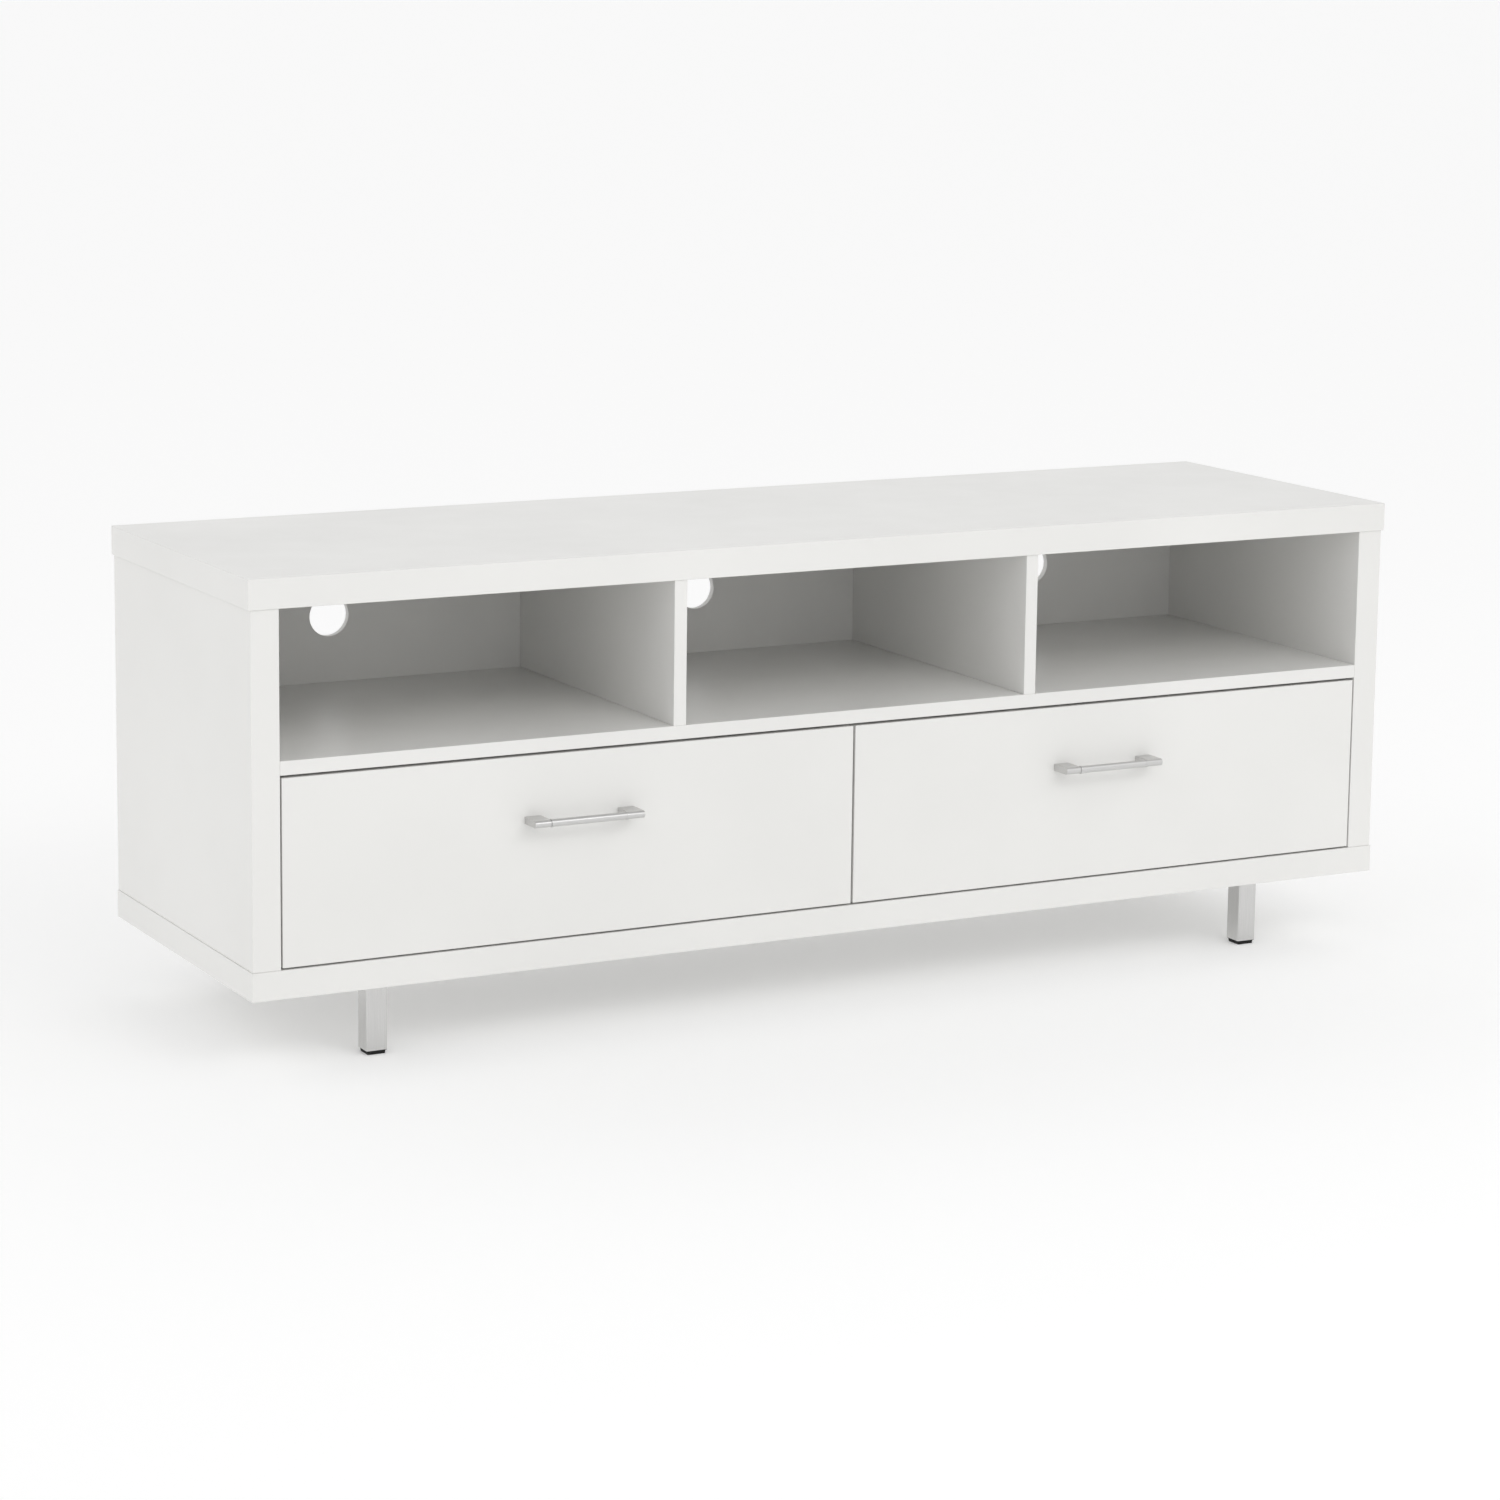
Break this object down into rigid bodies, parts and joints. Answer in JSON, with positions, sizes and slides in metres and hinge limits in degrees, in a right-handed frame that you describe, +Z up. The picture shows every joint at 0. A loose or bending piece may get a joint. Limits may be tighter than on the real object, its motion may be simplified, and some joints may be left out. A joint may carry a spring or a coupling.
{
  "type": "tv stand",
  "caption": "Low media console with open bays and cable ports over wide pull-out drawers, on square metal legs.",
  "frame": {"origin": "on the floor, under the middle of the overall box", "axes": "+Z up, front and drawers towards -Y, +X along the length to the right seen from the front"},
  "size_m": [1.5, 0.4666, 0.5525],
  "materials": {
    "white_lacquer": "satin white lacquer over board",
    "painted_back_board": "white painted thin board",
    "drawer_box_board": "white foil on board",
    "brushed_chrome": "satin chrome plate",
    "satin_nickel": "fine satin, brushed along its length",
    "black_plastic": "matte moulded",
    "zinc_plated_steel": "bright zinc plate",
    "ball_cage_steel": "rolled steel with polished balls",
    "steel_screw": "zinc plated",
    "cast_zinc": "die cast",
    "beech": "plain beech"
  },
  "bodies": {
    "cabinet": {"back_panel_left": "painted_back_board", "back_panel_lower": "painted_back_board", "back_panel_middle": "painted_back_board", "back_panel_right": "painted_back_board", "back_screws": "steel_screw", "bay_divider_left": "white_lacquer", "bay_divider_right": "white_lacquer", "bottom_slab": "white_lacquer", "divider_screws": "steel_screw", "drawer_partition": "white_lacquer", "leg_glide_back_left": "black_plastic", "leg_glide_back_right": "black_plastic", "leg_glide_front_left": "black_plastic", "leg_glide_front_right": "black_plastic", "leg_plates": "brushed_chrome", "leg_screws": "steel_screw", "leg_tube_back_left": "brushed_chrome", "leg_tube_back_right": "brushed_chrome", "leg_tube_front_left": "brushed_chrome", "leg_tube_front_right": "brushed_chrome", "middle_shelf": "white_lacquer", "runner_cabinet_left": "zinc_plated_steel", "runner_cabinet_right": "zinc_plated_steel", "runner_wall_screws": "steel_screw", "shelf_cam_bolts": "steel_screw", "shelf_cam_discs": "cast_zinc", "side_panel_left": "white_lacquer", "side_panel_right": "white_lacquer", "top_slab": "white_lacquer", "wood_dowels": "beech"},
    "left_drawer": {"drawer_bottom_left": "drawer_box_board", "drawer_box_back_left": "drawer_box_board", "drawer_front_left": "white_lacquer", "drawer_inner_front_left": "drawer_box_board", "drawer_screws_left": "steel_screw", "drawer_side_inner_left": "drawer_box_board", "drawer_side_outer_left": "drawer_box_board", "handle_bar_left": "satin_nickel", "handle_posts_left": "satin_nickel", "handle_screws_left": "steel_screw", "runner_drawer_left": "zinc_plated_steel", "runner_levers_left": "black_plastic"},
    "left_runner_middle": {"runner_middle_left": "zinc_plated_steel"},
    "left_runner_outer_cages": {"runner_outer_cages_left": "ball_cage_steel"},
    "left_runner_inner_cages": {"runner_inner_cages_left": "ball_cage_steel"},
    "right_drawer": {"drawer_bottom_right": "drawer_box_board", "drawer_box_back_right": "drawer_box_board", "drawer_front_right": "white_lacquer", "drawer_inner_front_right": "drawer_box_board", "drawer_screws_right": "steel_screw", "drawer_side_inner_right": "drawer_box_board", "drawer_side_outer_right": "drawer_box_board", "handle_bar_right": "satin_nickel", "handle_posts_right": "satin_nickel", "handle_screws_right": "steel_screw", "runner_drawer_right": "zinc_plated_steel", "runner_levers_right": "black_plastic"},
    "right_runner_middle": {"runner_middle_right": "zinc_plated_steel"},
    "right_runner_outer_cages": {"runner_outer_cages_right": "ball_cage_steel"},
    "right_runner_inner_cages": {"runner_inner_cages_right": "ball_cage_steel"}
  },
  "joints": [
    {"name": "left_drawer_slide", "type": "slide", "parent": "cabinet", "child": "left_drawer", "axis": [0, -1, 0], "range_m": [0, 0.35]},
    {"name": "left_runner_middle_slide", "type": "slide", "parent": "cabinet", "child": "left_runner_middle", "axis": [0, -1, 0], "range_m": [0, 0.175]},
    {"name": "left_runner_outer_cages_slide", "type": "slide", "parent": "cabinet", "child": "left_runner_outer_cages", "axis": [0, -1, 0], "range_m": [0, 0.0875]},
    {"name": "left_runner_inner_cages_slide", "type": "slide", "parent": "cabinet", "child": "left_runner_inner_cages", "axis": [0, -1, 0], "range_m": [0, 0.2625]},
    {"name": "right_drawer_slide", "type": "slide", "parent": "cabinet", "child": "right_drawer", "axis": [0, -1, 0], "range_m": [0, 0.35]},
    {"name": "right_runner_middle_slide", "type": "slide", "parent": "cabinet", "child": "right_runner_middle", "axis": [0, -1, 0], "range_m": [0, 0.175]},
    {"name": "right_runner_outer_cages_slide", "type": "slide", "parent": "cabinet", "child": "right_runner_outer_cages", "axis": [0, -1, 0], "range_m": [0, 0.0875]},
    {"name": "right_runner_inner_cages_slide", "type": "slide", "parent": "cabinet", "child": "right_runner_inner_cages", "axis": [0, -1, 0], "range_m": [0, 0.2625]}
  ],
  "couplings": [
    {"joint": "left_runner_middle_slide", "follows": "left_drawer_slide", "ratio": 0.5},
    {"joint": "left_runner_outer_cages_slide", "follows": "left_drawer_slide", "ratio": 0.25},
    {"joint": "left_runner_inner_cages_slide", "follows": "left_drawer_slide", "ratio": 0.75},
    {"joint": "right_runner_middle_slide", "follows": "right_drawer_slide", "ratio": 0.5},
    {"joint": "right_runner_outer_cages_slide", "follows": "right_drawer_slide", "ratio": 0.25},
    {"joint": "right_runner_inner_cages_slide", "follows": "right_drawer_slide", "ratio": 0.75}
  ]
}
